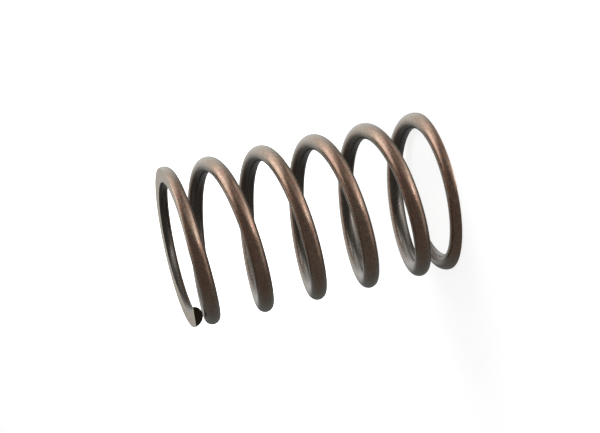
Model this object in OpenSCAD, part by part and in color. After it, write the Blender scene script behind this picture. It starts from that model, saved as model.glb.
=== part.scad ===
// Engine valve spring: a helical compression spring, coiled in one piece from round
// wire, with its end coils closed and ground flat. It stands on its lower ground end,
// with the coil axis along +Z and the origin at the middle of that end.

/* [Wire] */
// Diameter of the round wire
wire_d = 2.5; // [1.8:0.1:3.2]
// Angle by which the shear leaves the cut ends out of square
cut_skew = 35; // [0:5:40]

/* [Coil] */
// Outside diameter of the working coils
outer_d = 25.5; // [21:0.5:36]
// Height of the spring with no load on it
free_length = 42; // [38:0.5:60]
// Turns of wire from one cut end to the other
total_turns = 6.21; // [5:0.01:7]
// Way the wire turns as it climbs
hand = "right"; // [right, left]

/* [Lower end] */
// Climb of the closed coil, for each turn
lower_closed_pitch = 0.3; // [0:0.1:2]
// Turns over which the closed coil opens out to the working pitch
lower_opening_turns = 0.35; // [0.2:0.05:0.5]
// Thickness that grinding leaves at the cut end
lower_tip_thickness = 1.4; // [0.6:0.1:1.6]
// Gap between the cut end and the coil beside it
lower_tip_gap = 0.9; // [0.1:0.1:1.5]

/* [Upper end] */
// Climb of the closed coil, for each turn
upper_closed_pitch = 0.9; // [0:0.1:2]
// Turns over which the closed coil opens out to the working pitch
upper_opening_turns = 0.3; // [0.2:0.05:0.5]
// Thickness that grinding leaves at the cut end
upper_tip_thickness = 1.3; // [0.6:0.1:1.6]
// Gap between the cut end and the coil beside it
upper_tip_gap = 0.2; // [0.1:0.1:1.5]
// How far the cut end is tucked in from the radius of the working coils
upper_tuck = 0.25; // [0:0.05:0.6]
// Turns over which that tuck fades out
upper_tuck_turns = 1.1; // [0.3:0.1:1.5]

/* [Hidden] */

// Fineness of the wire's surface
rings_per_turn = 40;
ring_sides = 24;

full_turn = 360;
wire_r = wire_d / 2;
coil_r = outer_d / 2 - wire_r;

// The wire's centre starts under the lower ground face by what grinding takes off the
// cut end, and ends above the upper ground face in the same way.
start_z = lower_tip_thickness - wire_r;
end_z = free_length - upper_tip_thickness + wire_r;

// One turn on from its cut end, each closed coil has climbed one wire and the tip gap.
// The turns between take the rest of the height.
lower_step = wire_d + lower_tip_gap;
upper_step = wire_d + upper_tip_gap;
working_pitch = (end_z - start_z - lower_step - upper_step) / (total_turns - 2);

// Turns at each end that count as closed, with half of the turns that open out
lower_closed = 1 - (lower_step - lower_closed_pitch) / (working_pitch - lower_closed_pitch);
upper_closed = 1 - (upper_step - upper_closed_pitch) / (working_pitch - upper_closed_pitch);

// Rise from 0 to 1 as u goes from 0 to 1, level at both ends
function eased(u) = let (c = min(max(u, 0), 1)) c * c * (3 - 2 * c);

// What that rise has added up to by u, past 1 as well
function eased_sum(u) =
    let (c = min(max(u, 0), 1)) c * c * c - c * c * c * c / 2 + max(u - 1, 0);

// Of the first t turns from a cut end, how many count as closed
function closed_by(t, closed, opening) =
    t - opening * eased_sum((t - closed) / opening + 0.5);

// Height of the wire's centre at turn t
function wire_z(t) =
    let (below = closed_by(t, lower_closed, lower_opening_turns),
        above = upper_closed - closed_by(total_turns - t, upper_closed, upper_opening_turns))
    start_z + lower_closed_pitch * below + upper_closed_pitch * above
        + working_pitch * (t - below - above);

// Radius at which the wire's centre runs at turn t
function wire_radius(t) =
    coil_r - upper_tuck * (1 - eased((total_turns - t) / upper_tuck_turns));

// Lead angle of the wire at turn t, from the climb over a short stretch about it
slope_step = 0.001;
function lead_angle(t) =
    atan((wire_z(t + slope_step) - wire_z(t - slope_step))
        / (2 * slope_step * 2 * PI * coil_r));

// One ring of points round the wire at turn t. It is square to the wire where skew is 0,
// and its inner side lies further along the wire by that angle.
function ring(t, skew = 0) =
    let (a = full_turn * t, lead = lead_angle(t), outward = [cos(a), sin(a), 0],
        along = [-cos(lead) * sin(a), cos(lead) * cos(a), sin(lead)],
        across = cross(outward, along),
        outer_side = outward - tan(skew) * along,
        centre = wire_radius(t) * outward + [0, 0, wire_z(t)])
    [for (i = [0 : ring_sides - 1])
        let (b = full_turn * i / ring_sides)
        centre + wire_r * (cos(b) * outer_side + sin(b) * across)];

// The wire as it leaves the coiling machine, round all along and sheared at both ends
module coiled_wire() {
    steps = ceil(total_turns * rings_per_turn);
    points = [for (k = [0 : steps])
        each ring(total_turns * k / steps, k == 0 || k == steps ? cut_skew : 0)];
    walls = [for (k = [0 : steps - 1], i = [0 : ring_sides - 1])
        let (j = (i + 1) % ring_sides, here = k * ring_sides, next = here + ring_sides)
        [here + i, next + i, next + j, here + j]];
    first_cut = [for (i = [0 : ring_sides - 1]) i];
    last_cut = [for (i = [ring_sides - 1 : -1 : 0]) steps * ring_sides + i];
    polyhedron(points = points, faces = concat(walls, [first_cut, last_cut]));
}

// What the grinding wheel takes off an end: all that lies above z = 0
module ground_away() {
    side = outer_d + 2 * wire_d;
    translate([-side / 2, -side / 2, 0])
        cube([side, side, wire_d]);
}

module valve_spring() {
    color([0.42, 0.33, 0.27])
        mirror([0, hand == "left" ? 1 : 0, 0])
            difference() {
                coiled_wire();
                mirror([0, 0, 1])
                    ground_away();
                translate([0, 0, free_length])
                    ground_away();
            }
}

valve_spring();
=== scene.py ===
"""Engine valve spring: a closed and ground coil of heat-tinted spring wire, on a pale stage."""

import math

import bmesh
import bpy
from bpy.props import FloatProperty, FloatVectorProperty, PointerProperty
from mathutils import Matrix, Vector


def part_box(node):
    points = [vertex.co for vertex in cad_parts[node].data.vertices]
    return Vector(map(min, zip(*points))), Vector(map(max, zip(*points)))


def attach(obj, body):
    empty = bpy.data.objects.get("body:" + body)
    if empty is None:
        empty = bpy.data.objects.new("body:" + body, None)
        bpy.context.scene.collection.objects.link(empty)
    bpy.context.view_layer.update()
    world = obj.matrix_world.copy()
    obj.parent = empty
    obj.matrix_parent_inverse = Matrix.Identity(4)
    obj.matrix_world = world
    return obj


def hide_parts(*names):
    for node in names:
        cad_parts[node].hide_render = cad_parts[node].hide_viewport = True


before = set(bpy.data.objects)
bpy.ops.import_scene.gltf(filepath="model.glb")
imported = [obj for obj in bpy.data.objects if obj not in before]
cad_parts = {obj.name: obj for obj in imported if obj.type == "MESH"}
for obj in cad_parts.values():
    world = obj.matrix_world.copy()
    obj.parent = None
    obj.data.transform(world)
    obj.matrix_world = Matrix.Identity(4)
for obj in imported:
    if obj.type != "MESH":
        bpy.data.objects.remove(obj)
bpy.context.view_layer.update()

bl_info = {
    "name": "Engine valve spring",
    "version": (1, 0, 0),
    "blender": (4, 5, 0),
    "location": "3D View > Sidebar > Valve spring",
    "description": "Coils a closed and ground valve spring from tempered wire",
    "category": "Add Mesh",
}

MM = 0.001
OXIDE_IOR = 1.8
CAD_NODE = "valve_spring"
RIDES_ON = "root"

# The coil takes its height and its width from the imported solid
solid_low, solid_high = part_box(CAD_NODE)
SOLID_HEIGHT = solid_high.z - solid_low.z
SOLID_WIDTH = min(solid_high.x - solid_low.x, solid_high.y - solid_low.y)

SPRING_MIDDLE = Vector((0, 0, SOLID_HEIGHT / 2))

# Soft lights: the side they hang on, as right, up and towards the camera in the picture,
# then their width and their brightness, where 1 is white. They hang all round at one distance.
LIGHT_DISTANCE = 0.35
SOFT_LIGHTS = (
    ("right_light", (0.9, 0.45, 0.0), 0.24, 0.9),
    ("right_front_light", (0.78, 0.42, 0.46), 0.2, 1.7),
    ("right_small_light", (0.77, 0.3, 0.57), 0.06, 7.0),
    ("right_fill_light", (0.45, 0.5, 0.74), 0.24, 0.45),
    ("right_low_light", (0.95, -0.1, 0.1), 0.22, 0.5),
    ("right_top_light", (0.6, 0.8, 0.0), 0.3, 0.6),
    ("left_light", (-0.9, 0.42, 0.1), 0.26, 1.7),
    ("left_low_light", (-0.95, -0.1, 0.0), 0.25, 0.6),
    ("left_top_light", (-0.55, 0.8, 0.0), 0.3, 0.6),
    ("top_front_light", (0.0, 0.75, 0.65), 0.3, 0.22),
)
BACKDROP_SIDE = (-0.6, 0.62, -0.5)

# Fineness of the wire's mesh
RINGS_PER_TURN = 96
RING_SIDES = 48
FLAT_SIDES = 8
FLAT_HALF_ANGLE = math.tau * FLAT_SIDES / RING_SIDES / 2
TINY = 1e-6


def length(name, description, default):
    """A size of the spring, shown as a length."""
    return FloatProperty(
        name=name, description=description, default=default, min=0.0, precision=5, subtype="DISTANCE", unit="LENGTH"
    )


def turns(name, description, default):
    """A number of turns of the wire."""
    return FloatProperty(name=name, description=description, default=default, min=0.0, precision=3)


def angle(name, description, default):
    """An angle, shown in degrees."""
    return FloatProperty(
        name=name, description=description, default=math.radians(default), subtype="ANGLE", unit="ROTATION"
    )


def colour(name, description, default):
    """A colour, kept without transparency."""
    return FloatVectorProperty(name=name, description=description, default=default, size=3, min=0.0, max=1.0, subtype="COLOR")


class SpringSizes(bpy.types.PropertyGroup):
    """Sizes of the wire, the coil and its two ground ends."""

    wire_diameter: length("Wire diameter", "Thickness of the round wire", 2.5 * MM)
    outside_diameter: length("Outside diameter", "Width over the working coils", SOLID_WIDTH)
    free_length: length("Free length", "Height with no load on the spring", SOLID_HEIGHT)
    total_turns: turns("Total turns", "Turns of wire from one cut end to the other", 6.21)
    cut_skew: angle("Cut skew", "How far the shear leaves the cut ends out of square", 35)
    edge_break: length("Edge break", "Width that deburring takes off the sharp edges", 0.05 * MM)
    lower_closed_pitch: length("Lower closed pitch", "Climb of the lower closed coil, for each turn", 0.3 * MM)
    lower_opening_turns: turns("Lower opening", "Turns over which the lower closed coil opens out", 0.35)
    lower_tip_thickness: length("Lower tip", "Thickness that grinding leaves at the lower cut end", 1.4 * MM)
    lower_tip_gap: length("Lower tip gap", "Gap between the lower cut end and the coil beside it", 0.9 * MM)
    upper_closed_pitch: length("Upper closed pitch", "Climb of the upper closed coil, for each turn", 0.9 * MM)
    upper_opening_turns: turns("Upper opening", "Turns over which the upper closed coil opens out", 0.3)
    upper_tip_thickness: length("Upper tip", "Thickness that grinding leaves at the upper cut end", 1.3 * MM)
    upper_tip_gap: length("Upper tip gap", "Gap between the upper cut end and the coil beside it", 0.2 * MM)
    upper_tuck: length("Upper tuck", "How far the upper cut end is tucked in", 0.25 * MM)
    upper_tuck_turns: turns("Upper tuck turns", "Turns over which that tuck fades out", 1.1)


class SpringColours(bpy.types.PropertyGroup):
    """Colours of the spring's finishes and of the stage."""

    tempered: colour("Tempered wire", "Brown oxide skin that heat treatment leaves", (0.28, 0.15, 0.084))
    straw: colour("Straw tint", "Lighter tan patches of the oxide skin", (0.33, 0.21, 0.13))
    ruddy: colour("Ruddy tint", "Redder patches of the oxide skin", (0.29, 0.125, 0.068))
    # Painted sheen: a paler olive colour mixed in where the skin is seen at a slant, in place of reflected light
    painted_olive_sheen: colour("Painted olive sheen", "Tint of the oxide skin where it is seen at a slant", (0.25, 0.205, 0.125))
    # A darker colour for the coil's inner side, which also colours small dark specks
    scale: colour("Dark inner side and specks", "Darker oxide that stays on the inner side of the coil", (0.085, 0.066, 0.045))
    bare: colour("Bare steel", "Steel that the grinding wheel has laid bare", (0.68, 0.61, 0.52))
    # Painted shade: the cut ends' steel is near-black, standing in for the shade they lie in
    sheared_painted_shade: colour("Sheared steel", "Steel of the two cut ends", (0.085, 0.062, 0.044))
    floor: colour("Floor", "Pale floor and backdrop", (0.9, 0.9, 0.9))


class WirePath:
    """The line that the wire's centre follows, in turns from the lower cut end."""

    def __init__(self, sizes):
        self.sizes = sizes
        self.wire_radius = sizes.wire_diameter / 2
        self.coil_radius = sizes.outside_diameter / 2 - self.wire_radius
        self.turns = sizes.total_turns
        self.start = sizes.lower_tip_thickness - self.wire_radius
        end = sizes.free_length - sizes.upper_tip_thickness + self.wire_radius
        lower_step = sizes.wire_diameter + sizes.lower_tip_gap
        upper_step = sizes.wire_diameter + sizes.upper_tip_gap
        self.working_pitch = (end - self.start - lower_step - upper_step) / (self.turns - 2)
        self.lower_closed = self.closed_turns(lower_step, sizes.lower_closed_pitch)
        self.upper_closed = self.closed_turns(upper_step, sizes.upper_closed_pitch)

    def closed_turns(self, step, pitch):
        """Turns that count as closed, where the first turn from a cut end climbs by step."""
        return 1 - (step - pitch) / (self.working_pitch - pitch)

    def height(self, turn):
        """Height of the wire's centre."""
        sizes = self.sizes
        below = closed_by(turn, self.lower_closed, sizes.lower_opening_turns)
        above = self.upper_closed - closed_by(self.turns - turn, self.upper_closed, sizes.upper_opening_turns)
        working = turn - below - above
        return (
            self.start
            + sizes.lower_closed_pitch * below
            + sizes.upper_closed_pitch * above
            + self.working_pitch * working
        )

    def radius(self, turn):
        """Distance of the wire's centre from the coil's axis."""
        return self.coil_radius - self.sizes.upper_tuck * (
            1 - eased((self.turns - turn) / self.sizes.upper_tuck_turns)
        )

    def lead(self, turn, step=0.001):
        """Angle at which the wire climbs."""
        climb = self.height(turn + step) - self.height(turn - step)
        return math.atan2(climb, 2 * step * math.tau * self.coil_radius)

    def place(self, turn):
        """Matrix that sets a flat section square on the wire: X outwards, Y up, Z along the wire."""
        turned, lead = math.tau * turn, self.lead(turn)
        outward = Vector((math.cos(turned), math.sin(turned), 0))
        along = Vector((-math.cos(lead) * math.sin(turned), math.cos(lead) * math.cos(turned), math.sin(lead)))
        centre = self.radius(turn) * outward + Vector((0, 0, self.height(turn)))
        matrix = Matrix((outward, outward.cross(along), along)).transposed().to_4x4()
        matrix.translation = centre
        return matrix


def eased(u):
    """Rise from 0 to 1 as u goes from 0 to 1, level at both ends."""
    c = min(max(u, 0), 1)
    return c * c * (3 - 2 * c)


def closed_by(turn, closed, opening):
    """Of the first turns from a cut end, how many count as closed."""
    u = (turn - closed) / opening + 0.5
    c = min(max(u, 0), 1)
    return turn - opening * (c**3 - c**4 / 2 + max(u - 1, 0))


def ground_half_angle(clearance, wire_radius, lead):
    """Half the angle of the wire's round that the wheel grinds off, or 0 where it misses."""
    reach = clearance / (wire_radius * math.cos(lead))
    return math.acos(min(max(reach, -1), 1))


def spread(from_pole, half_angle):
    """Moves a ring's points round so that one lies on each edge of the ground flat."""
    size = abs(from_pole)
    if size <= FLAT_HALF_ANGLE:
        moved = size * half_angle / FLAT_HALF_ANGLE
    else:
        share = (size - FLAT_HALF_ANGLE) / (math.pi - FLAT_HALF_ANGLE)
        moved = half_angle + share * (math.pi - half_angle)
    return math.copysign(moved, from_pole)


class SPRING_OT_wire(bpy.types.Operator):
    """Coil the wire, shear its two ends and grind them flat"""

    bl_idname = "valve_spring.coil_wire"
    bl_label = "Coil the wire"

    def execute(self, context):
        sizes = context.scene.spring_sizes
        path = WirePath(sizes)
        if path.working_pitch < sizes.wire_diameter:
            raise RuntimeError("the working coils touch: fewer turns, thinner wire or a longer spring")
        mesh = bmesh.new()
        steps = math.ceil(path.turns * RINGS_PER_TURN)
        rings = self.draw_wire(mesh, path, steps)
        edges = self.sharp_edges(mesh, rings, path, steps)
        for ring in (rings[0], rings[-1]):
            cap = bmesh.ops.contextual_create(mesh, geom=ring_edges(mesh, ring))
            for face in cap["faces"]:
                face.material_index = 1
        bmesh.ops.bevel(
            mesh,
            geom=edges,
            offset=sizes.edge_break,
            offset_type="OFFSET",
            segments=2,
            profile=0.5,
            affect="EDGES",
            material=-1,
            clamp_overlap=False,
        )
        bmesh.ops.recalc_face_normals(mesh, faces=mesh.faces)
        flat = 1e-4 * MM
        top = sizes.free_length
        for face in mesh.faces:
            heights = [vert.co.z for vert in face.verts]
            ground = max(heights) < flat or min(heights) > top - flat
            face.smooth = face.material_index == 0 and not ground
        piece = finished_piece("coiled_wire", mesh)
        colours = context.scene.spring_colours
        piece.data.materials.append(tempered_wire(colours, sizes))
        piece.data.materials.append(sheared_end(colours))
        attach(piece, RIDES_ON)
        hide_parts(CAD_NODE)
        return {"FINISHED"}

    def draw_wire(self, mesh, path, steps):
        """Extrudes a circle along the path, ring by ring, and returns the rings in order."""
        place_layer = mesh.verts.layers.float_vector.new("wire_place")
        made = bmesh.ops.create_circle(mesh, cap_ends=False, segments=RING_SIDES, radius=path.wire_radius)
        ring = made["verts"]
        rings = [ring]
        travelled = 0.0
        for k in range(steps + 1):
            turn = path.turns * k / steps
            if k:
                grown = bmesh.ops.extrude_edge_only(mesh, edges=ring_edges(mesh, ring))
                new = {item for item in grown["geom"] if isinstance(item, bmesh.types.BMVert)}
                ring = [next(e.other_vert(v) for e in v.link_edges if e.other_vert(v) in new) for v in ring]
                rings.append(ring)
                travelled += math.tau * path.radius(turn) * path.turns / steps / math.cos(path.lead(turn))
            for vert, (drawn, spot) in zip(ring, self.section(path, turn)):
                vert[place_layer] = drawn + Vector((0, 0, travelled))
                vert.co = spot
        return rings

    def section(self, path, turn):
        """Points of the wire's section at a turn: round, flattened by the wheel and skewed by the shear.

        Each comes as its place in the straight wire and its place in the coil."""
        sizes = path.sizes
        around = math.tau * path.coil_radius
        from_cut = min(turn, path.turns - turn) * around
        skew = math.tan(sizes.cut_skew) * (1 - eased(from_cut / (1.5 * sizes.wire_diameter)))
        pole, plane, clearance = nearest_end(path, turn)
        half_angle = ground_half_angle(clearance, path.wire_radius, path.lead(turn))
        sharp = half_angle > FLAT_HALF_ANGLE
        points = []
        for side in range(RING_SIDES):
            from_top = math.tau * side / RING_SIDES
            from_pole = math.remainder(from_top if pole > 0 else from_top - math.pi, math.tau)
            moved = spread(from_pole, max(half_angle, FLAT_HALF_ANGLE))
            x = -path.wire_radius * math.sin(moved) * pole
            y = path.wire_radius * math.cos(moved) * pole
            shift = -skew * x
            spot = path.place(turn + shift / around) @ Vector((x, y, 0))
            on_flat = sharp and abs(from_pole) < FLAT_HALF_ANGLE + TINY
            spot.z = plane if on_flat else pole * min(pole * spot.z, pole * plane)
            points.append((Vector((x, y, shift)), spot))
        return points

    def sharp_edges(self, mesh, rings, path, steps):
        """The edges of the cut ends, and of the ground flats as far as they stay sharp."""
        edges = ring_edges(mesh, rings[0]) + ring_edges(mesh, rings[-1])
        half = FLAT_SIDES // 2
        for k in range(steps):
            turn = path.turns * (k + 1 if k < steps / 2 else k) / steps
            pole, _, clearance = nearest_end(path, turn)
            middle = 0 if pole > 0 else RING_SIDES // 2
            if ground_half_angle(clearance, path.wire_radius, path.lead(turn)) > FLAT_HALF_ANGLE:
                for side in (middle - half, middle + half):
                    edges.append(mesh.edges.get((rings[k][side], rings[k + 1][side])))
        return edges


def nearest_end(path, turn):
    """The nearer ground face: its side of the wire, 1 up or -1 down, its height, and the wire's distance."""
    height = path.height(turn)
    if height < path.sizes.free_length / 2:
        return -1, 0.0, height
    return 1, path.sizes.free_length, path.sizes.free_length - height


def ring_edges(mesh, ring):
    """The edges that close a ring of points."""
    return [mesh.edges.get((ring[i - 1], ring[i])) for i in range(len(ring))]


def finished_piece(name, mesh):
    """Makes an object of a finished mesh, at the origin and unturned."""
    data = bpy.data.meshes.new(name)
    mesh.to_mesh(data)
    mesh.free()
    piece = bpy.data.objects.new(name, data)
    bpy.context.scene.collection.objects.link(piece)
    return piece


class Flow:
    """What flows out of a node, with Python's operators for its sums."""

    def __init__(self, finish, socket):
        self.finish = finish
        self.socket = socket

    def sum(self, operation, *terms, clamp=False):
        return self.finish.node(
            "ShaderNodeMath", {"operation": operation, "use_clamp": clamp}, dict(enumerate(terms))
        )

    def __add__(self, other):
        return self.sum("ADD", self, other)

    __radd__ = __add__

    def __sub__(self, other):
        return self.sum("SUBTRACT", self, other)

    def __rsub__(self, other):
        return self.sum("SUBTRACT", other, self)

    def __mul__(self, other):
        return self.sum("MULTIPLY", self, other)

    __rmul__ = __mul__

    def clamped(self):
        return self.sum("ADD", self, 0.0, clamp=True)


class Finish:
    """The nodes of one material."""

    def __init__(self, tree):
        self.tree = tree
        tree.nodes.clear()

    def node(self, kind, settings=None, sockets=None, output=0):
        """Adds a node: its settings first, then the values or links of its sockets."""
        made = self.tree.nodes.new(kind)
        for name, value in (settings or {}).items():
            if name == "stops":
                ramp = made.color_ramp
                while len(ramp.elements) < len(value):
                    ramp.elements.new(1.0)
                for element, (position, level) in zip(ramp.elements, value):
                    element.position = position
                    element.color = (level, level, level, 1.0)
            else:
                setattr(made, name, value)
        for name, value in (sockets or {}).items():
            socket = made.inputs[name]
            if isinstance(value, Flow):
                self.tree.links.new(value.socket, socket)
            elif socket.type == "RGBA" and len(value) == 3:
                socket.default_value = (*value, 1.0)
            else:
                socket.default_value = value
        return Flow(self, made.outputs[output]) if made.outputs else None

    def noise(self, place, scale, detail=4.0, roughness=0.55, distortion=0.0):
        """Cloudy noise from 0 to 1, at so many to the unit of place."""
        return self.node(
            "ShaderNodeTexNoise",
            {"noise_dimensions": "3D"},
            {"Vector": place, "Scale": scale, "Detail": detail, "Roughness": roughness, "Distortion": distortion},
        )

    def ramp(self, value, *stops):
        """Grey levels that value is turned into, as (position, level) pairs."""
        return self.node("ShaderNodeValToRGB", {"stops": stops}, {"Fac": value})

    def mix(self, factor, first, second, blend="MIX"):
        """One colour over another."""
        return self.node(
            "ShaderNodeMix", {"data_type": "RGBA", "blend_type": blend}, {0: factor, 6: first, 7: second}, output=2
        )

    def vector(self, operation, first, second):
        """Vector Math on a place or a direction."""
        return self.node("ShaderNodeVectorMath", {"operation": operation}, {0: first, 1: second})


def new_finish(name):
    material = bpy.data.materials.new(name)
    material.use_nodes = True
    return material, Finish(material.node_tree)


def tempered_wire(colours, sizes):
    """Heat-tinted skin of drawn wire, bare where the wheel has ground it, with a painted olive sheen where it is
    seen at a slant.
    """
    material, finish = new_finish("tempered_wire")
    drawn = finish.node("ShaderNodeAttribute", {"attribute_name": "wire_place"}, output=1)
    per_mm = (1 / MM, 1 / MM, 1 / MM)
    wire = finish.vector("MULTIPLY", drawn, per_mm)
    lines = finish.vector("MULTIPLY", drawn, (9 / MM, 9 / MM, 0.25 / MM))
    patches = finish.vector("MULTIPLY", drawn, (0.35 / MM, 0.35 / MM, 0.12 / MM))
    place = finish.node("ShaderNodeTexCoord", output=3)
    height = finish.node("ShaderNodeSeparateXYZ", sockets={0: place}, output=2)

    cloud = finish.noise(patches, 1.0, detail=3.0)
    grain = finish.noise(wire, 3.0, detail=6.0, roughness=0.75)
    draw_lines = finish.noise(lines, 1.0, detail=3.0, roughness=0.6)
    mottle = finish.noise(wire, 1.3, detail=4.0, roughness=0.65)

    tint = finish.mix(finish.ramp(cloud, (0.4, 0.0), (0.6, 1.0)), tuple(colours.tempered), tuple(colours.straw))
    tint = finish.mix(finish.ramp(mottle, (0.45, 0.0), (0.6, 0.8)), tint, tuple(colours.ruddy))
    # Painted sheen: the olive colour comes in as the surface turns to a slant from the view, in place of reflected
    # light
    slant = finish.node("ShaderNodeLayerWeight", sockets={"Blend": 0.5}, output=1)
    tint = finish.mix(finish.ramp(slant, (0.3, 0.0), (0.7, 0.9)), tint, tuple(colours.painted_olive_sheen))
    # Darker towards the inner side of the coil, where the wire faces the axis
    inner = finish.node("ShaderNodeSeparateXYZ", sockets={0: wire}, output=0)
    inner = finish.ramp(0.5 - 0.45 * inner + 0.35 * (mottle - 0.5), (0.66, 0.0), (0.98, 1.0))
    tint = finish.mix(inner, tint, tuple(colours.scale))
    shade = finish.ramp(grain, (0.36, 0.62), (0.5, 1.0), (0.64, 1.4))
    tint = finish.mix(1.0, tint, shade, blend="MULTIPLY")
    tint = finish.mix(0.2, tint, finish.ramp(draw_lines, (0.35, 0.75), (0.65, 1.15)), blend="MULTIPLY")
    specks = finish.noise(wire, 6.0, detail=2.0, roughness=0.5)
    tint = finish.mix(finish.ramp(specks, (0.58, 0.0), (0.7, 0.65)), tint, tuple(colours.scale))

    feather = 0.008 * MM + 0.02 * MM * mottle
    above_lower = finish.node("ShaderNodeMath", {"operation": "LESS_THAN"}, {0: height, 1: feather})
    below_upper = finish.node(
        "ShaderNodeMath", {"operation": "LESS_THAN"}, {0: sizes.free_length - height, 1: feather}
    )
    bare = (above_lower + below_upper).clamped()
    marks_place = finish.vector("MULTIPLY", place, (0.35 / MM, 16 / MM, 1 / MM))
    marks = finish.noise(marks_place, 1.0, detail=4.0, roughness=0.7)
    bare_tint = finish.mix(
        1.0, tuple(colours.bare), finish.ramp(marks, (0.3, 0.7), (0.7, 1.15)), blend="MULTIPLY"
    )
    skin = finish.mix(bare, tint, bare_tint)

    skin_rough = 0.2 + 0.18 * mottle + 0.08 * grain
    bare_rough = 0.42 + 0.2 * marks
    rough = skin_rough + bare * (bare_rough - skin_rough)
    relief = 0.7 * grain + 0.15 * draw_lines + 0.15 * mottle
    relief = relief + bare * (marks - relief)
    bump = finish.node(
        "ShaderNodeBump", sockets={"Strength": 0.7, "Distance": 0.03 * MM, "Height": relief}
    )
    shader = finish.node(
        "ShaderNodeBsdfPrincipled",
        sockets={
            "Base Color": skin,
            "Metallic": 1.0,
            "Roughness": rough,
            "Normal": bump,
            "Coat Weight": 1.0 - bare,
            "Coat Roughness": 0.27,
            "Coat IOR": OXIDE_IOR,
        },
    )
    finish.node("ShaderNodeOutputMaterial", sockets={"Surface": shader})
    return material


def sheared_end(colours):
    """Torn and burnished steel of a cut end: its streaks are the steel's own, its near-black colour is painted
    shade.
    """
    material, finish = new_finish("sheared_end")
    drawn = finish.node("ShaderNodeAttribute", {"attribute_name": "wire_place"}, output=1)
    streaks = finish.vector("MULTIPLY", drawn, (1 / MM, 14 / MM, 1 / MM))
    tear = finish.noise(streaks, 1.0, detail=5.0, roughness=0.7)
    grit = finish.noise(finish.vector("MULTIPLY", drawn, (8 / MM, 8 / MM, 8 / MM)), 1.0, detail=4.0)
    # The streaks are real tearing; the near-black colour under them is painted shade
    tint = finish.mix(1.0, tuple(colours.sheared_painted_shade), finish.ramp(tear, (0.3, 0.6), (0.7, 1.4)), blend="MULTIPLY")
    bump = finish.node(
        "ShaderNodeBump", sockets={"Strength": 0.6, "Distance": 0.05 * MM, "Height": 0.5 * tear + 0.5 * grit}
    )
    shader = finish.node(
        "ShaderNodeBsdfPrincipled",
        sockets={"Base Color": tint, "Metallic": 1.0, "Roughness": 0.4 + 0.25 * grit, "Normal": bump},
    )
    finish.node("ShaderNodeOutputMaterial", sockets={"Surface": shader})
    return material


class SpringStage(bpy.types.PropertyGroup):
    """The camera's place and the strength of the lights."""

    camera_turn: angle("Camera turn", "Direction of the camera round the spring", -122.131)
    camera_rise: angle("Camera rise", "Height of the camera above the floor", 12.861)
    camera_roll: angle("Camera roll", "Turn of the camera about its own line of sight", -102.539)
    camera_distance: length("Camera distance", "From the lens to the middle of the spring", 263.1 * MM)
    camera_lens: FloatProperty(name="Lens", description="Focal length of the camera, in millimetres", default=101.25)
    light_level: FloatProperty(name="Light level", description="Strength of all the soft lights", default=1.0)
    room_level: FloatProperty(name="Room level", description="Brightness of the dim room around", default=0.16)


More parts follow.
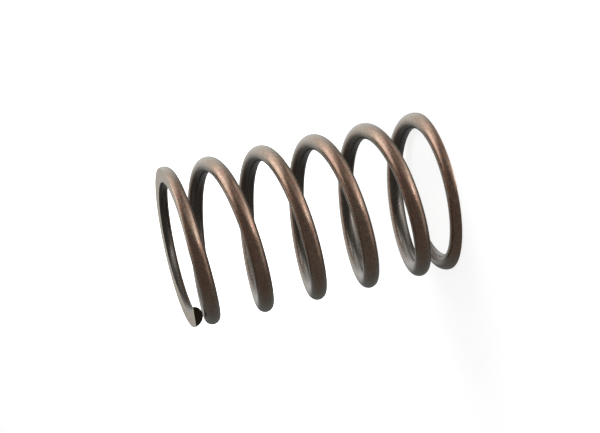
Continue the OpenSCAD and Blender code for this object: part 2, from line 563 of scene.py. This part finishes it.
class SPRING_OT_stage(bpy.types.Operator):
    """Lay the floor, hang the soft lights and set the camera"""

    bl_idname = "valve_spring.set_stage"
    bl_label = "Set the stage"

    def execute(self, context):
        stage = context.scene.spring_stage
        view = self.camera_axes(stage)
        self.lay_floor(context.scene.spring_colours)
        self.light_room(context.scene, stage, view)
        self.set_camera(context.scene, stage, view)
        context.scene.view_settings.view_transform = "Standard"
        return {"FINISHED"}

    def camera_axes(self, stage):
        """The camera's own axes: right and up in the picture, and back towards the lens."""
        turn, rise, roll = stage.camera_turn, stage.camera_rise, stage.camera_roll
        back = Vector((math.sin(turn) * math.cos(rise), -math.cos(turn) * math.cos(rise), math.sin(rise)))
        level = Vector((math.cos(turn), math.sin(turn), 0))
        upright = back.cross(level)
        right = math.cos(roll) * level + math.sin(roll) * upright
        up = math.cos(roll) * upright - math.sin(roll) * level
        return Matrix((right, up, back)).transposed()

    def lay_floor(self, colours):
        """A wide pale disc under the spring, white where the camera sees it lit."""
        mesh = bmesh.new()
        bmesh.ops.create_circle(mesh, cap_ends=True, segments=64, radius=1.5)
        bmesh.ops.translate(mesh, vec=(0, 0, -0.02 * MM), verts=mesh.verts)
        floor = finished_piece("floor", mesh)
        material, finish = new_finish("pale_floor")
        matt = finish.node("ShaderNodeBsdfDiffuse", sockets={"Color": tuple(colours.floor)})
        white = finish.node("ShaderNodeEmission", sockets={"Color": (1.0, 1.0, 1.0), "Strength": 2.06})
        seen = finish.node("ShaderNodeLightPath", output=0)
        place = finish.node("ShaderNodeTexCoord", output=3)
        away = finish.node("ShaderNodeVectorMath", {"operation": "LENGTH"}, {0: place}, output=1)
        beside = finish.ramp(away, (0.04, 0.6), (0.11, 0.0))
        shader = finish.node("ShaderNodeMixShader", sockets={0: seen * (1.0 - beside), 1: matt, 2: white})
        finish.node("ShaderNodeOutputMaterial", sockets={"Surface": shader})
        floor.data.materials.append(material)
        floor.visible_glossy = False
        floor.visible_shadow = False

    def light_room(self, scene, stage, view):
        """A dim room that the camera sees as white, and a soft box over the picture."""
        world = bpy.data.worlds.new("room")
        world.use_nodes = True
        scene.world = world
        finish = Finish(world.node_tree)
        seen = finish.node("ShaderNodeLightPath", output=0)
        mirrored = finish.node("ShaderNodeLightPath", output=3)
        through = finish.node("ShaderNodeLightPath", output=6)
        direction = finish.node("ShaderNodeTexCoord", output=0)
        backdrop = tuple(view @ Vector(BACKDROP_SIDE).normalized())
        behind = finish.node("ShaderNodeVectorMath", {"operation": "DOT_PRODUCT"}, {0: direction, 1: backdrop}, output=1)
        shown = (seen + (mirrored + through) * finish.ramp(behind, (0.48, 0.0), (0.88, 1.0))).clamped()
        level = stage.room_level + shown * (1.0 - stage.room_level)
        room = finish.node("ShaderNodeBackground", sockets={"Color": (1.0, 1.0, 1.0), "Strength": level})
        finish.node("ShaderNodeOutputWorld", sockets={"Surface": room})
        for name, direction, width, radiance in SOFT_LIGHTS:
            self.hang_light(name, view @ Vector(direction).normalized(), width, radiance * stage.light_level)

    def hang_light(self, name, towards, width, radiance):
        """A round soft light, facing the middle of the spring."""
        lamp = bpy.data.lights.new(name, "AREA")
        lamp.shape = "DISK"
        lamp.size = width
        lamp.energy = radiance * math.pi * math.pi * width * width / 4
        light = bpy.data.objects.new(name, lamp)
        place = Matrix.Translation(SPRING_MIDDLE + LIGHT_DISTANCE * towards)
        light.matrix_world = place @ towards.to_track_quat("Z", "Y").to_matrix().to_4x4()
        bpy.context.scene.collection.objects.link(light)

    def set_camera(self, scene, stage, view):
        """Puts the camera at the picture's viewing angle."""
        data = bpy.data.cameras.new("camera")
        data.sensor_width = 36.0
        data.lens = stage.camera_lens
        data.clip_start = 0.01
        camera = bpy.data.objects.new("camera", data)
        aside = view @ Vector((-0.969 * MM, 0.350 * MM, stage.camera_distance))
        camera.matrix_world = Matrix.Translation(SPRING_MIDDLE + aside) @ view.to_4x4()
        scene.collection.objects.link(camera)
        scene.camera = camera


class SPRING_PT_panel(bpy.types.Panel):
    """The spring's sizes, colours and steps"""

    bl_idname = "SPRING_PT_panel"
    bl_label = "Valve spring"
    bl_space_type = "VIEW_3D"
    bl_region_type = "UI"
    bl_category = "Valve spring"

    def draw(self, context):
        scene = context.scene
        for group in (scene.spring_sizes, scene.spring_colours, scene.spring_stage):
            box = self.layout.box()
            for name in group.__annotations__:
                box.prop(group, name)
        for step in STEPS:
            self.layout.operator(step.bl_idname)


STEPS = (SPRING_OT_wire, SPRING_OT_stage)
CLASSES = (SpringSizes, SpringColours, SpringStage, *STEPS, SPRING_PT_panel)


def register():
    for item in CLASSES:
        bpy.utils.register_class(item)
    bpy.types.Scene.spring_sizes = PointerProperty(type=SpringSizes)
    bpy.types.Scene.spring_colours = PointerProperty(type=SpringColours)
    bpy.types.Scene.spring_stage = PointerProperty(type=SpringStage)


def unregister():
    del bpy.types.Scene.spring_stage
    del bpy.types.Scene.spring_colours
    del bpy.types.Scene.spring_sizes
    for item in reversed(CLASSES):
        bpy.utils.unregister_class(item)


def main():
    register()
    bpy.ops.valve_spring.coil_wire()
    bpy.ops.valve_spring.set_stage()


if __name__ == "__main__":
    main()
